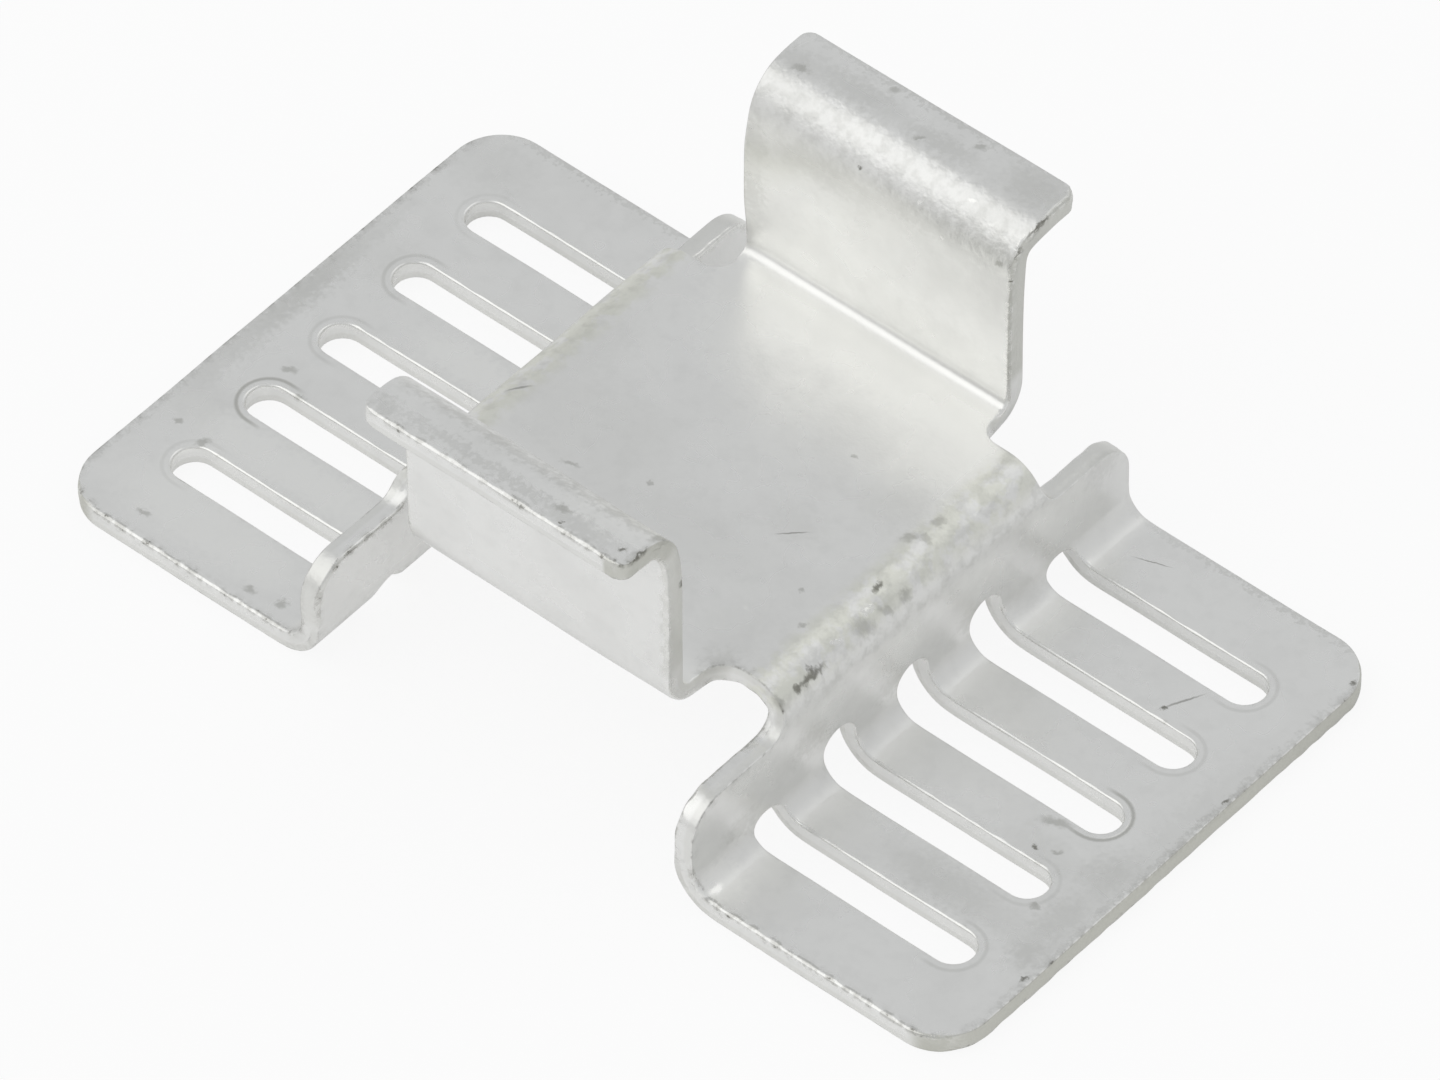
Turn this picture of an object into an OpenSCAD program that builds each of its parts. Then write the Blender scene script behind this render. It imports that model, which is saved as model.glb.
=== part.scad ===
// Heat sink folded from one tin-plated sheet.
// X runs along the cooling slots, Y from wall to wall and Z up.
// The origin is in the plane that the wings rest on, under the middle of the platform.

/* [Sheet] */
// Thickness of the sheet
sheet_t = 0.5; // [0.4:0.05:0.7]
// Inside radius of every bend
bend_r = 0.5; // [0.4:0.05:0.6]

/* [Wings] */
// Length over both wing tips
span = 25; // [22:0.5:32]
// Width of the wings and risers
wing_w = 14.4; // [14:0.1:18]
// Radius of the four outer corners of the wings
wing_corner_r = 1.5; // [0.5:0.1:2.5]

/* [Slots] */
// Number of slots in each wing
slot_count = 5; // [3:1:5]
// Width of a slot
slot_w = 1; // [0.6:0.05:1.4]
// Distance from one slot's middle line to the next
slot_pitch = 2.4; // [1.8:0.1:2.8]
// Metal left between a slot's outer end and the wing tip
slot_margin = 1.4; // [0.8:0.1:3]
// Height of the inner slots' tops on the riser
slot_rise = 1.55; // [1:0.05:2.2]
// Height of the two outermost slots' tops on the riser
outer_slot_rise = 0.95; // [0.8:0.05:2.2]

/* [Platform] */
// Length of the platform over the outer faces of the risers
platform_l = 10.9; // [10:0.1:14]
// Height of the platform's top face
platform_h = 3.9; // [3.6:0.1:5]
// Distance from the middle to the floor of the two near notches
near_notch_y = 4.1; // [3.2:0.05:4.5]
// Distance from the middle to the floor of the two far notches
far_notch_y = 4.35; // [3.2:0.05:4.5]
// Radius in the corners of the notches
notch_r = 0.6; // [0.2:0.05:0.7]
// Height of the shoulders' top edges
shoulder_h = 2.8; // [2.2:0.05:2.9]
// Radius of the shoulders' outer corners
shoulder_r = 1; // [0.3:0.1:1.3]

/* [Walls] */
// Length of each wall
wall_l = 7.25; // [6:0.05:8.4]
// Clear distance between the two walls
walls_gap = 10.6; // [10.4:0.1:13]
// Height of the lips' top faces
overall_h = 9.15; // [7.6:0.05:12]
// Reach of a lip from its wall's inner face to its tip
lip_reach = 1.9; // [1.7:0.1:3]
// Radius of the lips' corners
lip_corner_r = 0.3; // [0.1:0.05:0.6]

/* [Hidden] */
$fn = 64;
bend_out = bend_r + sheet_t;
riser_x = platform_l / 2;
wall_in_y = walls_gap / 2;
wall_bend_y = wall_in_y + sheet_t - bend_out;
slot_end_x = span / 2 - slot_margin - slot_w / 2;
slot_start_x = riser_x - bend_out;
past = 1;

// Square that fills one quadrant
module quadrant(sx, sy, size) {
    translate([sx > 0 ? 0 : -size, sy > 0 ? 0 : -size]) square(size);
}

// Section of one bend about its own centre: a quarter ring as thick as the sheet
module bend_2d(sx, sy) {
    intersection() {
        difference() {
            circle(bend_out);
            circle(bend_r);
        }
        quadrant(sx, sy, bend_out);
    }
}

// What a square corner at the origin loses when it is rounded, or gains when it is filled
module corner_2d(r, sx, sy) {
    difference() {
        quadrant(sx, sy, r);
        translate([sx * r, sy * r]) circle(r);
    }
}

// Section along X of one half: half the platform, upper bend, riser, lower bend and wing
module fold_2d() {
    translate([0, platform_h - sheet_t]) square([riser_x - bend_out, sheet_t]);
    translate([riser_x - bend_out, platform_h - bend_out]) bend_2d(1, 1);
    translate([riser_x - sheet_t, bend_out]) square([sheet_t, platform_h - 2 * bend_out]);
    translate([riser_x + bend_r, bend_out]) bend_2d(-1, -1);
    translate([riser_x + bend_r, 0]) square([span / 2 + past - riser_x - bend_r, sheet_t]);
}

// One side of the riser's outline: the neck, the fillet into the shoulder and the rounded shoulder
module riser_side_2d(notch_y) {
    fillet = min(notch_r, wall_bend_y - notch_y);
    translate([0, -past]) square([notch_y, platform_h + 2 * past]);
    difference() {
        translate([0, -past]) square([wing_w / 2, shoulder_h + past]);
        translate([wing_w / 2, shoulder_h]) corner_2d(shoulder_r, -1, -1);
    }
    translate([notch_y, shoulder_h]) corner_2d(fillet, 1, 1);
}

// Outline of the platform and risers seen along X
module riser_2d() {
    riser_side_2d(far_notch_y);
    mirror([1, 0]) riser_side_2d(near_notch_y);
}

// Outline seen from above: the wings with their rounded corners
module wings_2d() {
    difference() {
        square([span, wing_w], center = true);
        for (sx = [-1, 1], sy = [-1, 1]) {
            translate([sx * span / 2, sy * wing_w / 2]) corner_2d(wing_corner_r, -sx, -sy);
        }
    }
}

// Extrude a section drawn in X and Z evenly to both sides along Y
module along_y(length) {
    translate([0, length / 2, 0]) rotate([90, 0, 0]) linear_extrude(length) children();
}

// Extrude a section drawn in Y and Z evenly to both sides along X
module along_x(length) {
    translate([-length / 2, 0, 0]) rotate([90, 0, 90]) linear_extrude(length) children();
}

// One slot: it runs out along the wing, and up through the lower bend into the riser
module slot(y, rise) {
    translate([slot_start_x, y, 0]) rotate([90, 0, 90]) linear_extrude(slot_end_x - slot_start_x) {
        translate([-slot_w / 2, -past]) square([slot_w, past + rise - slot_w / 2]);
        translate([0, rise - slot_w / 2]) circle(slot_w / 2);
    }
    translate([slot_end_x, y, -past]) cylinder(h = sheet_t + 2 * past, r = slot_w / 2);
}

// All the slots of the +X wing
module slots() {
    for (i = [0 : slot_count - 1]) {
        outermost = i == 0 || i == slot_count - 1;
        slot((i - (slot_count - 1) / 2) * slot_pitch, outermost ? outer_slot_rise : slot_rise);
    }
}

// Platform, risers and wings
module strip() {
    difference() {
        intersection() {
            along_y(wing_w + 2 * past) {
                fold_2d();
                mirror([1, 0]) fold_2d();
            }
            along_x(span + 2 * past) riser_2d();
            translate([0, 0, -past]) linear_extrude(platform_h + 2 * past) wings_2d();
        }
        slots();
        mirror([1, 0, 0]) slots();
    }
}

// Section along Y of one wall: the bend up from the platform, the wall, and the lip turned outward
module wall_2d() {
    translate([0, platform_h - sheet_t]) square([wall_bend_y, sheet_t]);
    translate([wall_bend_y, platform_h + bend_r]) bend_2d(1, -1);
    translate([wall_in_y, platform_h + bend_r]) square([sheet_t, overall_h - platform_h - bend_out - bend_r]);
    translate([wall_in_y + bend_out, overall_h - bend_out]) bend_2d(-1, 1);
    translate([wall_in_y + bend_out, overall_h - sheet_t]) square([lip_reach - bend_out, sheet_t]);
}

// The fillets that fill the notches' corners beside one wall
module notch_fillets(notch_y) {
    for (sx = [-1, 1]) {
        translate([sx * wall_l / 2, notch_y, platform_h - sheet_t]) {
            linear_extrude(sheet_t) corner_2d(min(notch_r, wall_bend_y - notch_y), sx, 1);
        }
    }
}

// Both walls with their lips
module walls() {
    difference() {
        along_x(wall_l) {
            wall_2d();
            mirror([1, 0]) wall_2d();
        }
        for (sx = [-1, 1], sy = [-1, 1]) {
            translate([sx * wall_l / 2, sy * (wall_in_y + lip_reach), overall_h - sheet_t - past]) {
                linear_extrude(sheet_t + 2 * past) corner_2d(lip_corner_r, -sx, -sy);
            }
        }
    }
    notch_fillets(far_notch_y);
    mirror([0, 1, 0]) notch_fillets(near_notch_y);
}

// The whole folded sheet
module heat_sink() {
    color("gainsboro") union() {
        strip();
        walls();
    }
}

heat_sink();
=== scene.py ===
"""Looks of a heat sink folded from one tin-plated sheet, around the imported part.

The sheet is drawn as its flat blank, with stamped edges, and then carried round its bends.
X runs along the cooling slots, Y from wall to wall and Z up, all in metres.
"""

import math

import bpy
import numpy as np
from bpy.props import FloatProperty, FloatVectorProperty, IntProperty, PointerProperty
from mathutils import Matrix, Vector
from mathutils.geometry import delaunay_2d_cdt


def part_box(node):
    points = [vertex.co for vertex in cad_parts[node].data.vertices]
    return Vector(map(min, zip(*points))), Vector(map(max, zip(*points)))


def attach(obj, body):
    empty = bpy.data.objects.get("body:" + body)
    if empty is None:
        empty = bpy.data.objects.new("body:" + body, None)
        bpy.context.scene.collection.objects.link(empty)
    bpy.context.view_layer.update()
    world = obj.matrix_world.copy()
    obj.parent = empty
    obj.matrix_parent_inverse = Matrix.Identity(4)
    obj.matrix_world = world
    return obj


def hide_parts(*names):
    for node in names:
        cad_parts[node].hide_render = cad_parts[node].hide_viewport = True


bl_info = {
    "name": "Folded heat sink",
    "version": (1, 0, 0),
    "blender": (4, 5, 0),
    "location": "3D View > Sidebar > Heat sink",
    "description": "Builds the stamped and folded sheet of a heat sink, its finish and its stage",
    "category": "Object",
}

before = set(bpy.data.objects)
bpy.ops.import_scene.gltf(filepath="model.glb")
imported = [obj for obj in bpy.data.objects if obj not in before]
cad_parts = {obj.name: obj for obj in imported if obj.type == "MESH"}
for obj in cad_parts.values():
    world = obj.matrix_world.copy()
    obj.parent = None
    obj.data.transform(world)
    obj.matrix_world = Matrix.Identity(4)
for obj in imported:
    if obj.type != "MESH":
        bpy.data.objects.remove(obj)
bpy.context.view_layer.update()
SHEET_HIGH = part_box("heat_sink")[1]

MM = 0.001
PHOTO_W, PHOTO_H = 1440, 1080
SENSOR_W = 36.0
SEED = 7
# How many places are compared with the outlines at a time
CHUNK = 1000
MATH, RANGE, MIX = "ShaderNodeMath", "ShaderNodeMapRange", "ShaderNodeMix"
NOISE, VECTOR_MATH, ATTRIBUTE = "ShaderNodeTexNoise", "ShaderNodeVectorMath", "ShaderNodeAttribute"

# The way that the edges cut from below face, on the blank
FAR_SIDE = np.array([-0.65, 0.76])

# How deep the ring pressed round each slot's outer end is, and how dark its painted shade, from the
# near slot to the far one
RIGHT_RINGS = (0.35, 0.25, 1.0, 0.3, 0.3)
LEFT_RINGS = (0.2, 1.0, 0.3, 0.4, 0.15)

# How torn, dull and dark the whole cut is, its dark tint partly painted shade, at a wall's end, at
# a
# # shoulder and at the near wall's +X end, and how much more at that end's upper bend and lip
WALL_TEAR_SHADE, SHOULDER_TEAR_SHADE, NEAR_TEAR_SHADE, NEAR_LIP_TEAR_SHADE = 0.75, 0.3, 0.35, 0.55

# How speckled the near lip's edge is
LIP_SPECKS = 0.8

# How much of its bending a wall's foot shows, because the folding tool rubbed it smooth
FOOT_STRAIN = 0.3

# How much the punch's rounding wanders along an edge, and the length of its shortest wave
ROLL_WANDER, ROLL_WAVE = 0.22, 0.5 * MM

# Soft waves of the sheet: radians a millimetre along and across the slots, and the start
WAVES = ((1.15, 0.45, 0.4), (0.55, -1.35, 2.1), (1.7, 1.9, 0.0))

# Soft boxes: azimuth and elevation in degrees, side in metres, and the light that a face adds
LAMPS = {
    "front_left_box": (-40, 45, 1.3, 0.5),
    "back_box": (164, 57, 0.7, 0.3),
}
LAMP_DISTANCE = 1.2

# Marks on the upper side of the sheet: handling marks, and patches of painted shade and painted
# light,
# # each an ellipse on the flat blank in millimetres:
# # (along the slots, across the slots, half length, half width, turn in degrees).

# Nicks, chips and specks through to dark metal
NICKS = [
    (5.10, -3.05, 0.50, 0.075, 90),
    (5.02, -2.95, 0.09, 0.08, 20),
    (5.12, -3.48, 0.12, 0.10, 60),
    (4.72, -0.40, 0.19, 0.07, 98),
    (3.25, -11.38, 0.10, 0.07, 30),
    (-0.65, 9.80, 0.07, 0.04, 0),
    (12.44, 3.22, 0.09, 0.05, 30),
    (12.90, -1.58, 0.07, 0.06, 0),
    (15.05, 6.35, 0.08, 0.06, 60),
    (15.12, 2.00, 0.10, 0.05, 90),
    (15.08, -4.55, 0.12, 0.06, 80),
    (1.75, -11.62, 0.05, 0.04, 0),
    (-6.35, -4.12, 0.14, 0.06, 70),
    (3.63, -8.75, 0.08, 0.10, 0),
    (3.60, -11.28, 0.04, 0.34, 0),
    (3.60, 10.60, 0.035, 0.30, 0),
    (3.60, 9.95, 0.03, 0.16, 0),
    (3.58, 9.30, 0.06, 0.05, 0),
    (3.52, -11.74, 0.10, 0.07, 0),
]
# Fine scratches
SCRATCHES = [
    (2.48, -0.43, 0.34, 0.022, 45),
    (12.62, 3.62, 0.50, 0.030, 64),
    (-4.62, -0.98, 0.24, 0.030, 54),
    (-12.90, -5.30, 0.45, 0.020, 5),
    (9.60, 6.30, 0.40, 0.018, 20),
]
# Grey blots
BLOTS = [
    (-0.75, -1.30, 0.06, 0.06, 0),
    (2.05, 2.10, 0.06, 0.05, 0),
    (-2.40, -1.95, 0.20, 0.060, 20),
    (5.07, -1.30, 0.24, 0.15, 70),
    (5.10, -0.57, 0.16, 0.09, 60),
    (5.12, 0.00, 0.17, 0.11, 80),
    (4.42, 1.08, 0.18, 0.10, 60),
    (4.62, 1.30, 0.12, 0.09, 0),
    (4.57, 1.82, 0.16, 0.09, 80),
    (3.70, -1.55, 0.07, 0.06, 0),
    (4.35, -2.30, 0.09, 0.06, 40),
    (1.55, -11.30, 0.20, 0.08, 10),
    (3.52, -10.55, 0.10, 0.24, 0),
    (3.66, -11.35, 0.18, 0.36, 0),
    (1.38, 11.43, 0.14, 0.08, 40),
    (5.08, -4.08, 0.14, 0.10, 0),
    (3.25, 9.55, 0.10, 0.05, 30),
    (-2.98, 10.80, 0.16, 0.10, 10),
    (-1.10, 11.55, 0.13, 0.08, 30),
    (0.20, 10.85, 0.12, 0.06, 20),
    (12.78, -0.76, 0.32, 0.11, 20),
    (13.35, -1.40, 0.10, 0.06, 30),
    (-10.05, -6.75, 0.14, 0.10, 0),
    (-9.25, -6.62, 0.12, 0.11, 0),
    (-13.25, -6.55, 0.14, 0.08, 0),
    (-13.65, -4.20, 0.14, 0.09, 60),
    (-14.45, -4.05, 0.10, 0.08, 0),
    (-13.65, -1.40, 0.16, 0.08, 30),
    (-12.95, -1.85, 0.12, 0.06, 20),
    (13.95, -2.85, 0.11, 0.07, 0),
]
# Small painted highlights: spots where the sheet catches the light
PAINTED_GLINTS = [
    (10.00, 5.30, 0.05, 0.05, 0),
    (3.12, -2.72, 0.09, 0.06, 20),
    (8.45, -6.86, 0.26, 0.20, 10),
    (-5.85, -4.05, 0.30, 0.12, 80),
    (1.00, 9.85, 0.08, 0.04, 30),
    (1.70, 9.35, 0.06, 0.03, 30),
    (2.10, 10.35, 0.12, 0.05, 10),
    (3.40, -11.70, 0.08, 0.06, 0),
    (4.95, -2.05, 0.16, 0.05, 80),
    (4.90, -0.95, 0.22, 0.06, 85),
    (-13.55, -1.95, 0.30, 0.04, 20),
]
# Soft patches of painted shade: grey where the sheet lies darker in its light, along the wings'
# edges,
# # tips and far lip, and painted shadow just above the slots' upper ends
SHADE_PATCHES = [
    (-1.20, 9.20, 1.60, 0.38, 2),
    (0.60, 9.45, 1.00, 0.22, 0),
    (2.90, 11.20, 0.70, 0.45, 0),
    (0.60, 11.00, 1.00, 0.22, 0),
    (-1.70, 11.05, 1.10, 0.28, 0),
    (-3.20, 10.90, 0.40, 0.30, 0),
    (0.00, -11.38, 3.20, 0.13, 0),
    (2.10, -11.45, 0.90, 0.22, 0),
    (0.00, -10.66, 3.40, 0.12, 0),
    (-3.20, -11.50, 0.30, 0.25, 0),
    (12.20, -3.60, 1.30, 0.45, 0),
    (14.60, -2.80, 0.40, 0.70, 0),
    (14.55, -1.20, 0.45, 0.60, 0),
    (14.70, -4.00, 0.30, 0.40, 0),
    (-14.95, 0.20, 0.28, 2.80, 0),
    (3.75, -4.30, 0.30, 0.40, 0),
    (6.00, 6.30, 0.35, 0.45, 0),
    (-3.35, 8.90, 0.30, 0.60, 0),
    (0.30, 11.74, 3.40, 0.09, 0),
    (12.30, 7.12, 3.00, 0.09, 0),
    (-12.30, 7.12, 3.00, 0.09, 0),
    (15.18, 0.00, 0.08, 6.00, 0),
    (-15.18, 0.00, 0.08, 6.00, 0),
    (7.10, -0.70, 0.25, 0.40, 0),
    (7.15, 1.90, 0.25, 0.40, 0),
    (6.60, -3.40, 0.30, 0.40, 0),
    (7.30, -5.60, 0.25, 0.40, 0),
    (-3.40, 7.45, 0.25, 0.50, 0),
    (-7.40, -7.20, 1.00, 0.12, 0),
]
# Wide patches of painted light, brighter than the rest
LIT_PATCHES = [
    (-3.55, 6.05, 0.25, 0.50, 0),
    (-2.75, 3.80, 1.60, 0.55, -55),
    (0.60, 4.45, 2.90, 0.60, 0),
    (3.00, 9.75, 0.60, 0.35, 0),
    (8.40, -6.70, 0.50, 0.50, 0),
    (-11.80, -3.60, 2.20, 0.45, 0),
    (-12.00, -5.95, 2.00, 0.60, 0),
    (-10.80, 1.20, 1.00, 0.40, 0),
    (-13.20, -5.00, 0.60, 0.80, 0),
    (2.40, -10.95, 1.00, 0.30, 0),
]
# Wide faint patches of painted shade, duller than the rest and fainter than the other painted shade
FAINT_SHADES = [
    (0.70, -1.80, 2.20, 0.80, 0),
    (6.60, -1.50, 0.45, 4.50, 0),
    (-1.60, 6.60, 2.00, 0.70, 0),
    (1.40, 6.40, 2.20, 0.50, 0),
    (2.30, -0.20, 0.60, 0.50, 0),
    (2.80, 10.40, 0.70, 0.30, 0),
    (1.60, 8.20, 1.80, 0.80, 0),
    (-2.80, 10.10, 0.80, 0.30, 0),
    (3.60, 1.60, 0.60, 0.60, 0),
    (-14.40, -3.30, 0.55, 0.60, 0),
    (-14.00, 2.45, 0.60, 0.60, 0),
    (-14.20, 6.00, 0.90, 0.70, 0),
    (8.00, 3.60, 0.40, 0.45, 0),
    (13.20, -1.60, 0.80, 0.40, 0),
    (14.40, -3.70, 0.60, 0.45, 0),
    (-4.20, 0.60, 0.60, 1.60, 0),
    (-3.00, -0.90, 1.80, 1.30, 0),
    (3.30, -3.20, 0.80, 0.90, 0),
    (0.20, -3.20, 1.80, 0.60, 0),
    (14.90, 0.80, 0.35, 2.60, 0),
    (-14.90, 0.80, 0.30, 1.20, 0),
    (-0.50, 8.50, 1.80, 0.50, 0),
    (0.20, 7.60, 1.50, 0.60, 0),
    (3.20, 11.30, 0.60, 0.45, 0),
]


def linear(code):
    """An sRGB hex code such as "DFDEDA" as linear red, green and blue."""
    value = np.array([int(code[i : i + 2], 16) for i in (0, 2, 4)]) / 255
    curve = np.where(value <= 0.04045, value / 12.92, ((value + 0.055) / 1.055) ** 2.4)
    return tuple(float(c) for c in curve)


def length(name, description, millimetres):
    """A length property whose default is given in millimetres and kept in metres."""
    return FloatProperty(
        name=name, description=description, default=millimetres * MM, unit="LENGTH", precision=5
    )


def colour(name, description, code):
    """A colour property whose default is an sRGB hex code."""
    return FloatVectorProperty(
        name=name, description=description, default=linear(code), subtype="COLOR", min=0, max=1
    )


def share(name, description, default):
    """A property between 0 and 1."""
    return FloatProperty(name=name, description=description, default=default, min=0, max=1)


class SheetSizes(bpy.types.PropertyGroup):
    """Sizes of the folded sheet. Its length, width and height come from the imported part."""

    sheet_t: length("Sheet thickness", "Thickness of the sheet", 0.5)
    bend_r: length("Bend radius", "Inside radius of every bend", 0.5)
    wing_corner_r: length("Wing corner radius", "Radius of the wings' outer corners", 1.25)
    slot_count: IntProperty(name="Slots", description="Number of slots in each wing", default=5)
    slot_w: length("Slot width", "Width of a slot", 1.0)
    slot_pitch: length("Slot pitch", "Distance from one slot's middle line to the next", 2.4)
    slot_margin: length("Slot margin", "Metal between a slot's end and the wing tip", 1.4)
    slot_rise: length("Slot rise", "Height of the inner slots' tops on the riser", 1.55)
    outer_slot_rise: length("Outer slot rise", "Height of the outermost slots' tops", 0.95)
    platform_l: length("Platform length", "Length over the outer faces of the risers", 10.9)
    platform_h: length("Platform height", "Height of the platform's top face", 3.9)
    near_notch_y: length("Near notch", "Distance from the middle to the near notches' floors", 4.1)
    far_notch_y: length("Far notch", "Distance from the middle to the far notches' floors", 4.35)
    notch_r: length("Notch radius", "Radius in the corners of the notches", 0.6)
    shoulder_h: length("Shoulder height", "Height of the shoulders' top edges", 2.8)
    shoulder_r: length("Shoulder radius", "Radius of the shoulders' outer corners", 1.0)
    wall_l: length("Wall length", "Length of each wall", 7.25)
    walls_gap: length("Gap between walls", "Clear distance between the two walls", 10.6)
    lip_reach: length("Lip reach", "Reach of a lip from its wall's inner face to its tip", 1.9)
    lip_corner_r: length("Lip corner radius", "Radius of the lips' corners", 0.3)


class EdgeSizes(bpy.types.PropertyGroup):
    """Sizes of the stamped edge and of the mesh that shows it."""

    roll_w: length("Roll width", "Width of the rounding that the punch leaves", 0.11)
    slot_roll: share("Slot roll", "The rounding at the slots as a share of the outline's", 0.6)
    roll_depth: length("Roll depth", "Depth of the rounding that the punch leaves", 0.08)
    land_end: length("Land end", "Height below the middle where the smooth cut ends", 0.02)
    tear_taper: length("Tear taper", "How far the torn part of the cut leans in", 0.018)
    ragged_h: length("Raggedness", "How far the torn part of the cut wanders", 0.0015)
    burr_r: length("Burr radius", "Radius of the sharp edge on the far side of the cut", 0.02)
    rim_w: length("Rim width", "Width of the band of mesh along each edge", 0.26)
    edge_step: length("Edge step", "Distance between the points of an outline", 0.1)
    flat_step: length("Flat step", "Distance between the mesh lines on flat faces", 0.3)
    bend_step: length("Bend step", "Distance between the mesh lines round a bend", 0.045)
    tear_share: share("Tear share", "How dull the torn part of an ordinary cut is", 0.2)
    speck_share: share("Speck share", "How speckled an ordinary edge is", 0.2)
    change_w: length("Change width", "Length over which one kind of cut turns into another", 0.5)
    wave_height: length("Wave height", "Height of the soft waves in the sheet", 0.01)
    bow_l: length("Bow length", "How far below its upper bend a wall begins to lean out", 1.7)
    bow_depth: length("Bow depth", "How far a wall leans out at its upper bend", 0.08)
    soft_bend_l: length("Soft bend length", "How much further the upper bends reach", 0.35)
    soft_bend_depth: length("Soft bend depth", "How much the upper bends are rounder", 0.08)
    low_bend_depth: length("Lower bend depth", "How much rounder the risers' feet are", 0.06)
    crease_r: length("Crease radius", "Inside radius of the walls' lower bends as seen", 0.25)
    curl_l: length("Curl length", "How far in the curl of the far wall's -X end begins", 0.9)
    curl_h: length("Curl height", "How far the far wall's -X end curls in", 0.1)
    far_drop: length("Far drop", "How much lower the far wall's upper bend is", 0.15)
    lip_skew: length("Lip skew", "How far the far lip's tip runs out at its +X end", 0.03)
    lip_bulge: length("Lip bulge", "How far the far lip's +X end bulges", 0.13)
    wall_bulge: length("Wall bulge", "How far the far wall's -X end bulges", 0.06)


class TinFinish(bpy.types.PropertyGroup):
    """Colours and roughness of the satin tin plate."""

    tin: colour("Tin", "Clean satin tin", "F2F2F0")
    tin_shade: colour("Tin shade", "Tin where it is smudged", "E5E5E3")
    # Burnished tin on the rolled edges, partly painted highlight, and the colour of every painted
    # highlight
    burnished_and_highlight: colour("Burnished tin", "Tin rubbed bright on rolled edges and glints", "FAFAF7")
    # Also painted shade: the torn cuts at the wing tips, the wall ends and the shoulders are tinted
    # darker
    cut_tin_and_shade: colour("Cut edge", "Tin over the torn part of a cut edge", "CCCCC4")
    haze: colour("Haze", "Yellow-green haze on the worn upper bends", "E6E7D6")
    blot: colour("Blot", "Grey blots and smears", "A9A9A2")
    nick: colour("Nick", "Nicks and specks through to the bare metal", "5F5D52")
    roughness: share("Roughness", "Roughness of the clean tin", 0.27)
    squeezed_roughness: share("Squeezed roughness", "Roughness on the inside of a bend", 0.5)
    stretched_roughness: share("Stretched roughness", "Roughness round the outside of a bend", 0.4)
    torn_roughness: share("Torn roughness", "Roughness of the torn part of a cut edge", 0.5)
    burnished_roughness: share("Burnished roughness", "Roughness where tin is rubbed bright", 0.2)
    grain_h: length("Grain height", "Height of the satin grain", 0.003)
    stretch_h: length("Stretch height", "Height of the grain round the outside of a bend", 0.009)
    dent_h: length("Dent height", "Height of the soft dents round the outside of a bend", 0.022)
    ring_h: length("Ring depth", "Depth of the groove pressed round a slot's end", 0.008)


class StageSizes(bpy.types.PropertyGroup):
    """The camera at the photograph's angle, and the floor."""

    azimuth: FloatProperty(
        name="Azimuth", description="Camera's angle round Z, 0 looking along +Y",
        default=math.radians(40.51), subtype="ANGLE",
    )
    elevation: FloatProperty(
        name="Elevation", description="Camera's angle above the horizon",
        default=math.radians(47.248), subtype="ANGLE",
    )
    roll: FloatProperty(
        name="Roll", description="Camera's roll about its view",
        default=math.radians(-0.082), subtype="ANGLE",
    )
    distance: length("Distance", "Distance from the camera to the part's origin", 374.1)
    focal_px: FloatProperty(
        name="Focal length", description="Focal length in pixels of the photograph", default=17552
    )
    origin_u: FloatProperty(
        name="Origin across", description="Pixel column of the part's origin", default=716.40
    )
    origin_v: FloatProperty(
        name="Origin down", description="Pixel row of the part's origin", default=590.61
    )
    floor_size: length("Floor size", "Length of the floor's sides", 6000.0)
    floor_colour: colour("Floor", "Matt white floor", "FDFDFD")
    white_seen: share("White seen", "How far the floor shows white rather than its shade", 0.88)
    # Painted light and shade of the floor as the metal reflects it: whiter in front of the part
    # than behind
    white_front: share("White in front", "The same in the metal's reflections, in front", 0.42)
    white_behind: share("White behind", "The same in the metal's reflections, behind", 0.12)
    horizon: colour("Horizon", "The studio at the horizon", "D4D4D4")
    overhead: colour("Overhead", "The studio overhead", "D0D1D2")
    lamp_tint: colour("Lamp tint", "Colour of the soft boxes", "FFFEFB")


def half_lengths():
    """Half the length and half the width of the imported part, and its height."""
    return SHEET_HIGH.x, SHEET_HIGH.y, SHEET_HIGH.z


def bend_radii(sizes):
    """A bend's radius at the middle of the sheet and on its outside."""
    return sizes.bend_r + sizes.sheet_t / 2, sizes.bend_r + sizes.sheet_t


def reach_of(path):
    """Length of a path, or of its first stretches."""
    return sum(reach for reach, _ in path)


def fold_paths(sizes):
    """The folded profiles as stretches of (length, turn), from the middle of the platform outwards.

    A turn of 0 is flat, 1 bends the sheet up and -1 bends it down, each by a quarter turn.
    The first path is the strip's, along X, and the second the walls', along Y.
    """
    half_span, _, height = half_lengths()
    mid_r, bend_out = bend_radii(sizes)
    quarter = mid_r * math.pi / 2
    riser_x = sizes.platform_l / 2
    wall_bend_y = sizes.walls_gap / 2 + sizes.sheet_t - bend_out
    strip = [
        (riser_x - bend_out, 0),
        (quarter, -1),
        (sizes.platform_h - 2 * bend_out, 0),
        (quarter, 1),
        (half_span - riser_x - sizes.bend_r, 0),
    ]
    wall = [
        (wall_bend_y, 0),
        (quarter, 1),
        (height - sizes.platform_h - bend_out - sizes.bend_r, 0),
        (quarter, -1),
        (sizes.lip_reach - bend_out, 0),
    ]
    return strip, wall


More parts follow.
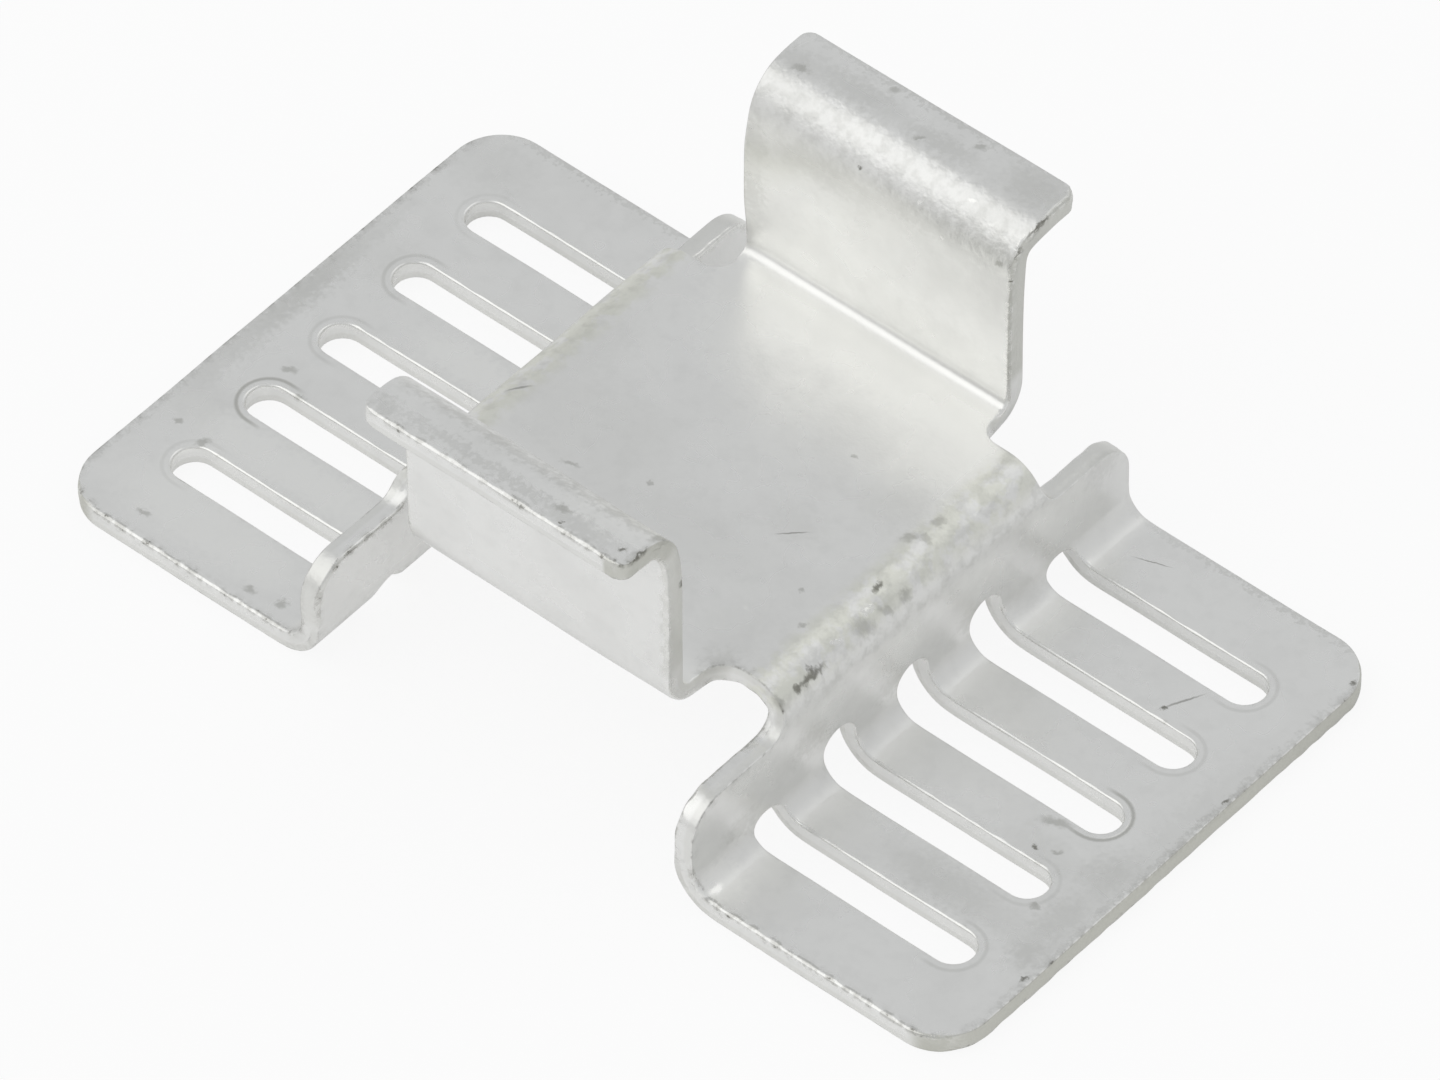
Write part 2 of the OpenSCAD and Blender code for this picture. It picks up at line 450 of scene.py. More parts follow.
def carry(path, start, mid_r, soft, along, above):
    """Carries points round a folded profile.

    along is the distance along the sheet's middle and above the height over it. On a flat stretch
    a point is the stretch's start plus along times its direction plus above times its normal. In a
    bend the normal turns evenly, and the point stays at the bend's middle radius plus above.
    Returns the places in the profile's plane and the turn at each point, rising from 0 a soft
    length before a bend to 1 or -1 a quarter of the way round it.
    """
    place = np.zeros((len(along), 2))
    turned = np.zeros(len(along))
    corner = np.array([0.0, start])
    heading, run = 0.0, 0.0
    for number, (reach, turn) in enumerate(path):
        last = number == len(path) - 1
        here = (along >= run) & ((along < run + reach) | last)
        t, h = along[here] - run, above[here]
        ahead = np.array([math.cos(heading), math.sin(heading)])
        normal = np.array([-ahead[1], ahead[0]])
        if turn == 0:
            place[here] = corner + t[:, None] * ahead + h[:, None] * normal
            corner = corner + reach * ahead
        else:
            centre = corner + turn * mid_r * normal
            angle = heading + turn * t / mid_r
            spoke = np.stack([-np.sin(angle), np.cos(angle)], 1)
            place[here] = centre + (h - turn * mid_r)[:, None] * spoke
            inward = np.minimum(along - run, run + reach - along)
            turned += turn * smooth_step((inward + soft) / (soft + 0.25 * reach))
            heading += turn * math.pi / 2
            corner = centre - turn * mid_r * np.array([-math.sin(heading), math.cos(heading)])
        run += reach
    return place, turned


def fold(sizes, blank, above, far_drop):
    """Folds the flat blank: blank is (s, q), and above is the height over the sheet's middle.

    Beyond the walls' lower bends the sheet follows the walls' path along Y, and everywhere else
    the strip's path along X. The far wall's upper bend comes far_drop earlier. Returns the places,
    and how far each point is stretched or squeezed: 1 on the outside of a bend, -1 on its inside,
    0 where the sheet is flat, and less than 1 at the walls' rubbed feet.
    """
    strip, wall = fold_paths(sizes)
    mid_r = bend_radii(sizes)[0]
    start = sizes.platform_h - sizes.sheet_t / 2
    s, q = blank.T
    on_wall = (np.abs(q) > wall[0][0]) & (np.abs(s) < strip[0][0])
    soft = sizes.bend_r / 2
    along_x, turn_x = carry(strip, start, mid_r, soft, np.abs(s), above)
    far_wall = wall[:2] + [(wall[2][0] - far_drop, 0), wall[3], (wall[4][0] + far_drop, 0)]
    near_y, near_turn = carry(wall, start, mid_r, soft, np.abs(q), above)
    far_y, far_turn = carry(far_wall, start, mid_r, soft, np.abs(q), above)
    along_y = np.where(q[:, None] > 0, far_y, near_y)
    turn_y = np.where(q > 0, far_turn, near_turn)
    x = np.where(on_wall, s, np.sign(s) * along_x[:, 0])
    y = np.where(on_wall, np.sign(q) * along_y[:, 0], q)
    z = np.where(on_wall, along_y[:, 1], along_x[:, 1])
    turn_y = np.where(turn_y > 0, FOOT_STRAIN * turn_y, turn_y)
    turn = np.where(on_wall, turn_y, turn_x)
    return np.stack([x, y, z], 1), -turn * np.sign(above)


def rounded(corners, step):
    """A closed outline from corners of (x, y, radius), each turned into an arc of that radius.

    Straights and arcs are divided evenly into steps. Returns the points and, at each, the unit
    normal on the right of the way round, which points out of the metal.
    """
    corners = np.array(corners)
    place, radius = corners[:, :2], corners[:, 2]
    ahead = np.roll(place, -1, 0) - place
    ahead /= np.linalg.norm(ahead, axis=1)[:, None]
    points, normals = [], []
    for i in range(len(place)):
        way_in, way_out = ahead[i - 1], ahead[i]
        side = np.sign(way_in[0] * way_out[1] - way_in[1] * way_out[0])
        start, end = place[i] - way_in * radius[i], place[i] + way_out * radius[i]
        left = np.array([-way_in[1], way_in[0]])
        centre = start + side * left * radius[i]
        count = max(3, math.ceil(radius[i] * math.pi / 2 / step))
        angle = np.linspace(0, side * math.pi / 2, count + 1)[:, None]
        right = -left * np.cos(angle) + way_in * np.sin(angle)
        points.append(centre + side * right * radius[i])
        normals.append(right)
        following = (i + 1) % len(place)
        to = place[following] - way_out * radius[following]
        gap = np.linalg.norm(to - end)
        count = max(1, math.ceil(gap / step))
        way = np.linspace(0, 1, count + 1)[1:-1, None]
        points.append(end + way * (to - end))
        normals.append(np.repeat([[way_out[1], -way_out[0]]], len(way), 0))
    points, normals = np.concatenate(points), np.concatenate(normals)
    nearly_none = 0.01 * step
    apart = np.linalg.norm(points - np.roll(points, 1, 0), axis=1) > nearly_none
    return points[apart], normals[apart]


def outer_corners(sizes):
    """Corners of the blank's outline, anticlockwise: lips, notches, shoulders and wing tips."""
    _, half_w, _ = half_lengths()
    strip, wall = fold_paths(sizes)
    lip, tip = reach_of(wall), reach_of(strip)
    bend_out = bend_radii(sizes)[1]
    shoulder = strip[0][0] + strip[1][0] + sizes.platform_h - bend_out - sizes.shoulder_h
    wall_x = sizes.wall_l / 2

    def quarter(notch, sign):
        fillet = min(sizes.notch_r, wall[0][0] - notch)
        return [
            (wall_x, sign * lip, sizes.lip_corner_r),
            (wall_x, sign * notch, fillet),
            (shoulder, sign * notch, sizes.notch_r),
            (shoulder, sign * half_w, sizes.shoulder_r),
            (tip, sign * half_w, sizes.wing_corner_r),
        ]

    right = quarter(sizes.near_notch_y, -1) + quarter(sizes.far_notch_y, 1)[::-1]
    return right + [(-x, y, r) for x, y, r in reversed(right)]


def slot_corners(sizes):
    """Corners of every slot in the blank, clockwise, so that the metal is on the left."""
    half_span = half_lengths()[0]
    strip, _ = fold_paths(sizes)
    mid_r, bend_out = bend_radii(sizes)
    low_bend, wing = reach_of(strip[:3]), reach_of(strip[:4])
    end = wing + half_span - sizes.slot_margin - sizes.platform_l / 2 - sizes.bend_r
    half = sizes.slot_w / 2
    slots = []
    for i in range(sizes.slot_count):
        outermost = i in (0, sizes.slot_count - 1)
        below = bend_out - (sizes.outer_slot_rise if outermost else sizes.slot_rise)
        top = low_bend + (below if below < 0 else mid_r * math.asin(below / mid_r))
        y = (i - (sizes.slot_count - 1) / 2) * sizes.slot_pitch
        box = [(top, y - half), (top, y + half), (end, y + half), (end, y - half)]
        slots.append([(x, v, half) for x, v in box])
        slots.append([(-x, v, half) for x, v in reversed(box)])
    return slots


def wobble(count, span, shortest, rng):
    """A smooth closed curve between about -1 and 1: a sum of sines with whole numbers of waves."""
    sines, usual_peak = 14, 4.2
    most = max(3, int(span / shortest))
    number = rng.integers(1, most + 1, sines)
    phase = rng.uniform(0, 2 * math.pi, sines)
    turn = np.linspace(0, 2 * math.pi, count, endpoint=False)[:, None]
    return np.sin(turn * number + phase).sum(1) / usual_peak


def smooth_step(value):
    """0 below 0, 1 above 1 and a smooth rise between."""
    value = np.clip(value, 0, 1)
    return value * value * (3 - 2 * value)


def burr_up(sizes, edge, points, normals):
    """How far the cut is turned over, its sharp side on top.

    It is 1 along the notches, the wing tips, the near wall's ends and every edge on the part's far
    side, whose normal points between -X and +Y.
    """
    strip, wall = fold_paths(sizes)
    tip, low_bend = reach_of(strip), reach_of(strip[:3])
    s, q = np.abs(points).T
    soft = edge.change_w
    above_bend = smooth_step((low_bend - s) / soft)
    notch = above_bend * smooth_step((wall[0][0] + soft - q) / soft)
    beside_riser = above_bend * smooth_step((s - sizes.wall_l / 2 - soft) / soft)
    at_tip = smooth_step((s - tip + soft) / soft)
    near_wall = smooth_step((-points[:, 1] - wall[0][0]) / soft) * (s < strip[0][0])
    near_wall *= smooth_step(2 * np.abs(normals[:, 0]))
    faces_away = smooth_step(2 * (normals @ FAR_SIDE))
    return np.max([notch, beside_riser, at_tip, near_wall, faces_away], 0)


def speckled(sizes, edge, points):
    """How speckled an edge is: 1 at wing tips, near notches and near wing edges, else little."""
    strip, wall = fold_paths(sizes)
    s, q = np.abs(points[:, 0]), points[:, 1]
    tip, low_bend, lip = reach_of(strip), reach_of(strip[:3]), reach_of(wall)
    soft = edge.change_w
    at_tip = smooth_step((s - tip + soft) / soft)
    inner = (q > -wall[0][0]) * soft
    at_notch = smooth_step((s - sizes.wall_l / 2 + inner) / soft)
    at_notch *= smooth_step((low_bend - s) / soft) * smooth_step((-q - wall[0][0] / 2) / soft)
    near_lip = LIP_SPECKS * smooth_step((-q - lip + soft) / soft)
    near_wing = smooth_step((-q - half_lengths()[1] + soft) / soft) * (s > strip[0][0])
    elsewhere = np.full(len(s), edge.speck_share)
    return np.max([at_tip, at_notch, near_lip, near_wing, elsewhere], 0)


def torn_and_shaded_cut(sizes, edge, points):
    """How far the whole cut is torn and dull, and tinted darker: partly the torn metal's own
    dullness and partly painted shade.

    It is 1 at the wing tips and round their corners, and less at the far wall's ends, at the near
    wall's +X end, at the far shoulders and at the -X side's near shoulder.
    """
    strip, wall = fold_paths(sizes)
    tip, low_bend = reach_of(strip), reach_of(strip[:3])
    foot, top = reach_of(wall[:2]), reach_of(wall[:3])
    s, q = np.abs(points[:, 0]), points[:, 1]
    soft, corner = edge.change_w, 2.5 * edge.change_w
    at_tip = smooth_step((s - tip + corner) / soft)
    on_wall = s < strip[0][0]
    at_end = smooth_step((s - sizes.wall_l / 2 + soft) / soft)
    far = WALL_TEAR_SHADE * smooth_step((q - foot) / soft) * at_end * on_wall
    near = NEAR_TEAR_SHADE * smooth_step((-q - foot) / soft)
    near += NEAR_LIP_TEAR_SHADE * smooth_step((-q - top) / soft)
    near *= (points[:, 0] > sizes.wall_l / 2 - soft) * on_wall
    shoulder = SHOULDER_TEAR_SHADE * smooth_step((s - strip[0][0]) / soft)
    shoulder *= smooth_step((low_bend - s) / soft)
    left = smooth_step((-q - half_lengths()[1] + 2 * soft) / soft) * (points[:, 0] < 0)
    shoulder *= np.maximum(smooth_step((q - sizes.far_notch_y) / soft), left)
    return np.max([at_tip, far, shoulder, near], 0)


def slot_ends(sizes, edge, points):
    """How strong the ring pressed round a slot's outer end is, with the painted shade in it.

    It is the slot's own share within its rounding and fades to 0 a little way off.
    """
    middles = (np.arange(sizes.slot_count) - (sizes.slot_count - 1) / 2) * sizes.slot_pitch
    strength = np.resize(np.array([LEFT_RINGS, RIGHT_RINGS]), (2, sizes.slot_count))
    end = max(corners[2][0] for corners in slot_corners(sizes)) - sizes.slot_w / 2
    along, q = np.abs(points[:, 0]) - end, points[:, 1]
    gaps = np.abs(q[:, None] - middles)
    own = strength[(points[:, 0] > 0).astype(int), gaps.argmin(1)]
    away = np.hypot(along, gaps.min(1)) - sizes.slot_w / 2
    return own * smooth_step(along / edge.change_w + 1) * smooth_step(1.5 - away / edge.change_w)


def edge_band(sizes, edge, points, normals, roll_share, rng):
    """The stamped edge: the profile of a punched cut carried along an outline.

    The profile starts on one face at the rim's width, rolls down over a quarter ellipse, follows
    the smooth land, leans in over the torn part, and turns the burr's small corner to the other
    face. The roll is roll_share of its full size, and wanders along the outline. Where the burr
    is on top the profile is turned over. Returns blank places, heights, distances from the cut,
    and how far each point is on the roll, on the torn part and speckled, as arrays of (outline
    point, profile point).
    """
    span = len(points) * edge.edge_step
    half = sizes.sheet_t / 2
    beside, lean_h = 0.02 * MM, 0.06 * MM
    size = roll_share * (1 + ROLL_WANDER * wobble(len(points), span, ROLL_WAVE, rng))
    roll_w, roll_d = edge.roll_w * size, edge.roll_depth * size
    ragged = rng.uniform(-1, 1, len(points)) * edge.ragged_h
    torn, burr = edge.tear_taper, edge.burr_r
    burr_in, burr_end = 0.3 * burr, 2.2 * burr
    roll_points = 6
    angles = np.linspace(0, math.pi / 2, roll_points)
    # Each row: distance in from the cut, height over the middle, and shares of roll, tear and burr
    rows = [(edge.rim_w, half, 0, 0, 0), (roll_w + beside, half, 0.3, 0, 0)]
    rows += [
        (roll_w * (1 - math.sin(a)), half - roll_d * (1 - math.cos(a)), 1, 0, 0) for a in angles
    ]
    rows += [
        (0, half - roll_d - beside, 0.3, 0, 0),
        (0, -edge.land_end + 3 * ragged, 0, 0, 0),
        (torn / 2 + ragged, -edge.land_end - lean_h + 3 * ragged, 0, 1, 0),
        (torn + ragged, -half + burr_end, 0, 1, 0),
        (torn + ragged / 2, -half + burr, 0, 1, 0.6),
        (torn + burr_in, -half + burr_in, 0, 0.6, 1),
        (torn + burr, -half, 0, 0.2, 1),
        (torn + burr_end, -half, 0, 0, 0.4),
        (edge.rim_w, -half, 0, 0, 0),
    ]
    table = np.stack([np.stack([value * np.ones_like(size) for value in row]) for row in rows], -1)
    turned = burr_up(sizes, edge, points, normals)[:, None]
    inward, height, roll, tear_and_shade, burred = table * (1 - turned) + table[..., ::-1] * turned
    height -= 2 * table[1, :, ::-1] * turned
    on_cut = table[0] < roll_w[:, None] / 2
    # The torn share darkens the cut: dull tear and painted shade
    tear_and_shade = np.maximum(edge.tear_share * tear_and_shade, on_cut * torn_and_shaded_cut(sizes, edge, points)[:, None])
    blank = points[:, None, :] - normals[:, None, :] * inward[..., None]
    speck = np.maximum(roll, burred) * speckled(sizes, edge, points)[:, None]
    return blank, height, inward, roll, tear_and_shade, speck


def inside(places, loops):
    """Which places lie in the metal, where a ray crosses the outlines an odd number of times."""
    start = np.concatenate(loops)
    end = np.concatenate([np.roll(loop, -1, 0) for loop in loops])
    run, rise = (end - start).T
    slope = run / np.where(rise == 0, 1, rise)
    crossings = []
    for part in np.array_split(places, max(1, len(places) // CHUNK)):
        x, y = part[:, :1], part[:, 1:]
        spans = (start[:, 1] > y) != (end[:, 1] > y)
        crossings.append((spans & (x < slope * (y - start[:, 1]) + start[:, 0])).sum(1))
    return np.concatenate(crossings) % 2 == 1


def clearance(places, loops):
    """Distance from each place to the nearest point of the outlines."""
    edge = np.concatenate(loops)
    nearest = []
    for part in np.array_split(places, max(1, len(places) // CHUNK)):
        gap = part[:, None, :] - edge[None]
        nearest.append(np.sqrt((gap**2).sum(2).min(1)))
    return np.concatenate(nearest)


def mesh_lines(path, flat_step, bend_step):
    """Distances along a path at which the mesh has a line: close together in the bends."""
    lines, run = [np.zeros(1)], 0.0
    for reach, turn in path:
        count = math.ceil(reach / (bend_step if turn else flat_step))
        lines.append(run + np.linspace(0, reach, count + 1)[1:])
        run += reach
    lines = np.concatenate(lines)
    return np.concatenate([-lines[:0:-1], lines])


def fill_points(sizes, edge, rims):
    """Grid points inside the rims: the strip's, on its lines along X, and then the walls'."""
    strip, wall = fold_paths(sizes)
    _, half_w, _ = half_lengths()
    strip_x = mesh_lines(strip, edge.flat_step, edge.bend_step)
    strip_y = mesh_lines([(half_w, 0)], edge.flat_step, edge.bend_step)
    wall_y = mesh_lines(wall, edge.flat_step, edge.bend_step)
    wall_x = mesh_lines([(sizes.wall_l / 2, 0)], edge.flat_step, edge.bend_step)
    level = np.stack(np.meshgrid(strip_x, strip_y, indexing="ij"), -1).reshape(-1, 2)
    upright = np.stack(np.meshgrid(wall_x, wall_y, indexing="ij"), -1).reshape(-1, 2)
    on_wall = (np.abs(level[:, 1]) >= wall[0][0]) & (np.abs(level[:, 0]) < strip[0][0])
    upright = upright[np.abs(upright[:, 1]) >= wall[0][0]]
    grid = np.concatenate([level[~on_wall], upright])
    grid = grid[inside(grid, rims)]
    nearest = 0.7 * edge.bend_step
    return grid[clearance(grid, rims) > nearest]


def fill_faces(rims, grid):
    """Triangles between the rims and the grid points, all anticlockwise. The slots stay open."""
    points = np.concatenate(rims + [grid])
    starts = np.cumsum([0] + [len(rim) for rim in rims])
    numbers = [np.arange(a, b) for a, b in zip(starts, starts[1:])]
    edges = np.concatenate([np.stack([number, np.roll(number, -1)], 1) for number in numbers])
    scaled = [Vector(p) for p in (points / MM).tolist()]
    inner_faces, same_place = 1, 1e-7
    found, _, faces, _, _, _ = delaunay_2d_cdt(scaled, edges.tolist(), [], inner_faces, same_place)
    if len(found) != len(points):
        raise RuntimeError("the outlines of the blank meet or cross, so its faces can't be filled")
    faces = np.array(faces)
    a, b, c = (points[faces[:, k]] for k in range(3))
    turn = (b[:, 0] - a[:, 0]) * (c[:, 1] - a[:, 1]) - (b[:, 1] - a[:, 1]) * (c[:, 0] - a[:, 0])
    faces[turn < 0] = faces[turn < 0][:, ::-1]
    return faces[inside((a + b + c) / 3, rims)]


def band_faces(first, around, across):
    """Quads of a closed band of vertices laid out as (around, across), numbered from first."""
    number = first + np.arange(around * across).reshape(around, across)
    after = np.roll(number, -1, 0)
    quads = [number[:, :-1], number[:, 1:], after[:, 1:], after[:, :-1]]
    return np.stack(quads, -1).reshape(-1, 4)


def waves(blank, height):
    """Soft waves of the sheet, a few millimetres long: a sum of three slanting sines."""
    s, q = blank.T / MM
    return height / 2 * sum(np.sin(along * s + across * q + at) for along, across, at in WAVES)


def deeper(way, bend_r, crease_r):
    """How much deeper than an arc of bend_r a bend's inside is when its own radius is crease_r.

    way runs from 0 to 1 round the bend. Seen from the big arc's centre, both faces run on straight,
    at bend_r over the cosine of the turn, up to the small arc that touches them.
    """
    turn = np.minimum(way, 1 - way) * math.pi / 2
    gap = bend_r - crease_r
    middle = gap * (np.sin(turn) + np.cos(turn))
    arc = middle + np.sqrt(np.maximum(middle**2 - 2 * gap**2 + crease_r**2, 0))
    return np.where(np.tan(turn) < gap / bend_r, bend_r / np.cos(turn), arc) - bend_r


def bow(sizes, blank, above, edge):
    """How far the walls and the outer bends stand out from the sheet's true fold.

    A wall's lean grows as the power 2.5 of the distance up its last stretch and fades smoothly
    away round its upper bend. The upper bends of the walls and the lower bends of the risers are
    rounder than the others: a squared cosine about the middle of the bend. The walls' lower bends
    are creased on their inside. The far wall's -X end curls in as the square of the distance from
    where the curl begins.
    """
    strip, wall = fold_paths(sizes)
    top, low_bend = reach_of(wall[:3]), reach_of(strip[:3])
    quarter = wall[3][0]
    reach = quarter / 2 + edge.soft_bend_l
    s, q = blank.T
    curl = np.clip((-s - sizes.wall_l / 2) / edge.curl_l + 1, 0, 2) ** 2
    curl *= smooth_step(2 * (q - wall[0][0]) / quarter) * smooth_step((top - q) / quarter)
    off = np.clip(np.abs(np.abs(s) - low_bend - quarter / 2) / reach, 0, 1)
    low = edge.low_bend_depth * np.cos(off * math.pi / 2) ** 2
    q = np.abs(q)
    crease = deeper(np.clip((q - wall[0][0]) / quarter, 0, 1), sizes.bend_r, edge.crease_r)
    crease *= above / sizes.sheet_t + 0.5
    rise = np.clip((q - top + edge.bow_l) / edge.bow_l, 0, 1) ** 2.5
    fade = 1 - smooth_step((q - top) / quarter)
    off = np.clip(np.abs(q - top - quarter / 2) / reach, 0, 1)
    rounding = np.cos(off * math.pi / 2) ** 2
    out = edge.bow_depth * rise * fade + edge.soft_bend_depth * rounding
    return np.where(np.abs(s) < strip[0][0], edge.curl_h * curl - crease - out, low)


def out_of_true(sizes, edge, blank):
    """The blank with the far wall stretched: its lip runs out towards +X, and both its ends bulge.

    Each stretch is the product of two smooth rises, one along the wall and one across it.
    """
    _, wall = fold_paths(sizes)
    top, lip = reach_of(wall[:3]), reach_of(wall)
    s, q = blank.T
    along = smooth_step(s / sizes.wall_l + 0.5)
    tip = smooth_step((q - top) / (lip - top))
    fourth = sizes.wall_l / 4
    right = smooth_step((s - fourth) / fourth) * smooth_step((q - top) / wall[3][0])
    left = smooth_step((-s - fourth) / fourth) * smooth_step((q - wall[0][0]) / wall[1][0] - 1)
    bulge = (edge.lip_bulge * right - edge.wall_bulge * left) * (np.abs(s) < sizes.wall_l)
    return np.column_stack([s + bulge, q + edge.lip_skew * along * tip])


def add_piece(name, places, faces, attributes, material):
    """A mesh object at the origin with smooth faces and the given attributes on its points."""
    mesh = bpy.data.meshes.new(name)
    mesh.from_pydata(places.tolist(), [], faces)
    for key, values in attributes.items():
        kind = "FLOAT_VECTOR" if values.ndim == 2 else "FLOAT"
        field = "vector" if values.ndim == 2 else "value"
        layer = mesh.attributes.new(key, kind, "POINT")
        layer.data.foreach_set(field, values.astype(np.float32).ravel())
    mesh.polygons.foreach_set("use_smooth", np.ones(len(mesh.polygons), bool))
    mesh.materials.append(material)
    mesh.update()
    piece = bpy.data.objects.new(name, mesh)
    bpy.context.scene.collection.objects.link(piece)
    return piece


def fold_sheet(sizes, edge, material):
    """The whole sheet: stamped bands round the outlines and filled faces, made flat and folded."""
    rng = np.random.default_rng(SEED)
    outlines = [rounded(outer_corners(sizes), edge.edge_step)]
    outlines += [rounded(corners, edge.edge_step) for corners in slot_corners(sizes)]
    rolls = [1] + [edge.slot_roll] * (len(outlines) - 1)
    bands = [edge_band(sizes, edge, *line, size, rng) for line, size in zip(outlines, rolls)]
    rims = [band[0][:, 0] for band in bands]
    grid = fill_points(sizes, edge, rims)
    triangles = fill_faces(rims, grid)

    half = sizes.sheet_t / 2
    across = bands[0][0].shape[1]
    counts = [len(rim) for rim in rims]
    starts = np.cumsum([0] + [count * across for count in counts])
    quads = np.concatenate([band_faces(a, n, across) for a, n in zip(starts, counts)])
    rim_top = np.concatenate([a + across * np.arange(n) for a, n in zip(starts, counts)])
    grid_top = starts[-1] + np.arange(len(grid))
    top = np.concatenate([rim_top, grid_top])
    bottom = np.concatenate([rim_top + across - 1, grid_top + len(grid)])

    blank = np.concatenate([band[0].reshape(-1, 2) for band in bands] + [grid, grid])
    level = np.full(len(grid), half)
    clear = edge.rim_w + clearance(grid, rims)
    none = np.zeros(2 * len(grid))
    filled = (np.concatenate([level, -level]), np.concatenate([clear, clear]), none, none, none)
    above, rim, roll, tear_and_shade, speck = (
        np.concatenate([band[number].ravel() for band in bands] + [filled[number - 1]])
        for number in range(1, 6)
    )
    lift = waves(blank, edge.wave_height) + bow(sizes, blank, above, edge)
    places, strain = fold(sizes, out_of_true(sizes, edge, blank), above + lift, edge.far_drop)

    attributes = {
        "blank": np.column_stack([blank, above]),
        "rim": rim,
        "strain": strain,
        "roll": roll,
        "tear_and_shade": tear_and_shade,
        "speck": speck,
        "slot_end": slot_ends(sizes, edge, blank),
    }
    faces = quads.tolist() + top[triangles].tolist() + bottom[triangles[:, ::-1]].tolist()
    return add_piece("folded_sheet", places, faces, attributes, material)


def add(tree, kind, inputs=(), out=0, **settings):
    """Adds a node with its settings, fills its inputs and returns one of its outputs.

    inputs are values or other nodes' sockets, by name or in the order of the node's inputs.
    """
    node = tree.nodes.new(kind)
    for key, value in settings.items():
        setattr(node, key, value)
    for key, value in inputs.items() if isinstance(inputs, dict) else enumerate(inputs):
        if isinstance(value, bpy.types.NodeSocket):
            tree.links.new(value, node.inputs[key])
        else:
            node.inputs[key].default_value = value
    return node.outputs[out] if len(node.outputs) else node


def per_mm(size):
    """Noise scale, on coordinates in metres, for a pattern that repeats every size millimetres."""
    return 1 / (size * MM)


def ragged_marks(tree, blank, shift, marks, wander, fade, above):
    """A mask of handling marks with ragged outlines: 1 on a mark and 0 off it.

    Each mark is a ball drawn out to an ellipse, which falls from 1 in its middle to 0 at twice its
    half lengths. The point is first moved by shift, stretched to about wander millimetres, so that
    the outline is ragged. fade holds the ball's values at which the mark begins and is full.
    """
    usual_shift = 0.25
    most = wander * MM / usual_shift
    shift = add(tree, VECTOR_MATH, (shift, (most, most, 0)), operation="MULTIPLY")
    moved = add(tree, VECTOR_MATH, (blank, shift), operation="ADD")
    nearest = 0.0
    for s, q, half_l, half_w, turn in marks:
        ball = add(tree, "ShaderNodeTexGradient", (moved,), out="Fac", gradient_type="SPHERICAL")
        own = ball.node.texture_mapping
        own.vector_type = "TEXTURE"
        own.translation = (s * MM, q * MM, above)
        own.rotation = (0, 0, math.radians(turn))
        own.scale = (2 * half_l * MM, 2 * half_w * MM, above)
        nearest = add(tree, MATH, (nearest, ball), operation="MAXIMUM")
    return add(tree, RANGE, (nearest, *fade), interpolation_type="SMOOTHSTEP")


def bend_band_masks(tree, blank, mottled):
    """Masks by the place on the blank.

    They are a grey band on the upper side just below the walls' upper bends, partly wear and
    partly painted shade, the bands over the strip's upper bends, and a painted highlight along
    the walls' feet.
    """
    # A grey band below the walls' upper bends: partly wear and partly painted shade
    worn_from, worn_most, worn_to, worn_end = 7.4 * MM, 9.8 * MM, 9.65 * MM, 10.0 * MM
    bend_at, bend_w, bend_core = 4.8 * MM, 0.6 * MM, 0.2 * MM
    foot_at, foot_w, foot_core = 5.05 * MM, 0.75 * MM, 0.15 * MM
    # The walls' feet: a painted highlight along the crease
    foot_end, foot_fade = 3.9 * MM, 3.7 * MM
    along, across, height = (
        add(tree, "ShaderNodeSeparateXYZ", (blank,), out=axis) for axis in "XYZ"
    )
    along, across = (add(tree, MATH, (way,), operation="ABSOLUTE") for way in (along, across))
    off_bend = add(tree, MATH, (along, bend_at), operation="SUBTRACT")
    off_foot = add(tree, MATH, (across, foot_at), operation="SUBTRACT")
    off_bend, off_foot = (
        add(tree, MATH, (off,), operation="ABSOLUTE") for off in (off_bend, off_foot)
    )
    worn, unworn, upper, patchy, near_bend, foot, on_wall = (
        add(tree, RANGE, (value, low, high, least, 1.0), interpolation_type="SMOOTHSTEP")
        for value, low, high, least in (
            (across, worn_from, worn_most, 0.0),
            (across, worn_end, worn_to, 0.0),
            (height, 0.0, 0.1 * MM, 0.0),
            (mottled, 0.35, 0.6, 0.6),
            (off_bend, bend_w, bend_core, 0.0),
            (off_foot, foot_w, foot_core, 0.0),
            (along, foot_end, foot_fade, 0.0),
        )
    )
    for part in (unworn, upper, patchy):
        worn = add(tree, MATH, (worn, part), operation="MULTIPLY")
    for part in (upper, on_wall):
        foot = add(tree, MATH, (foot, part), operation="MULTIPLY")
    return worn, near_bend, foot


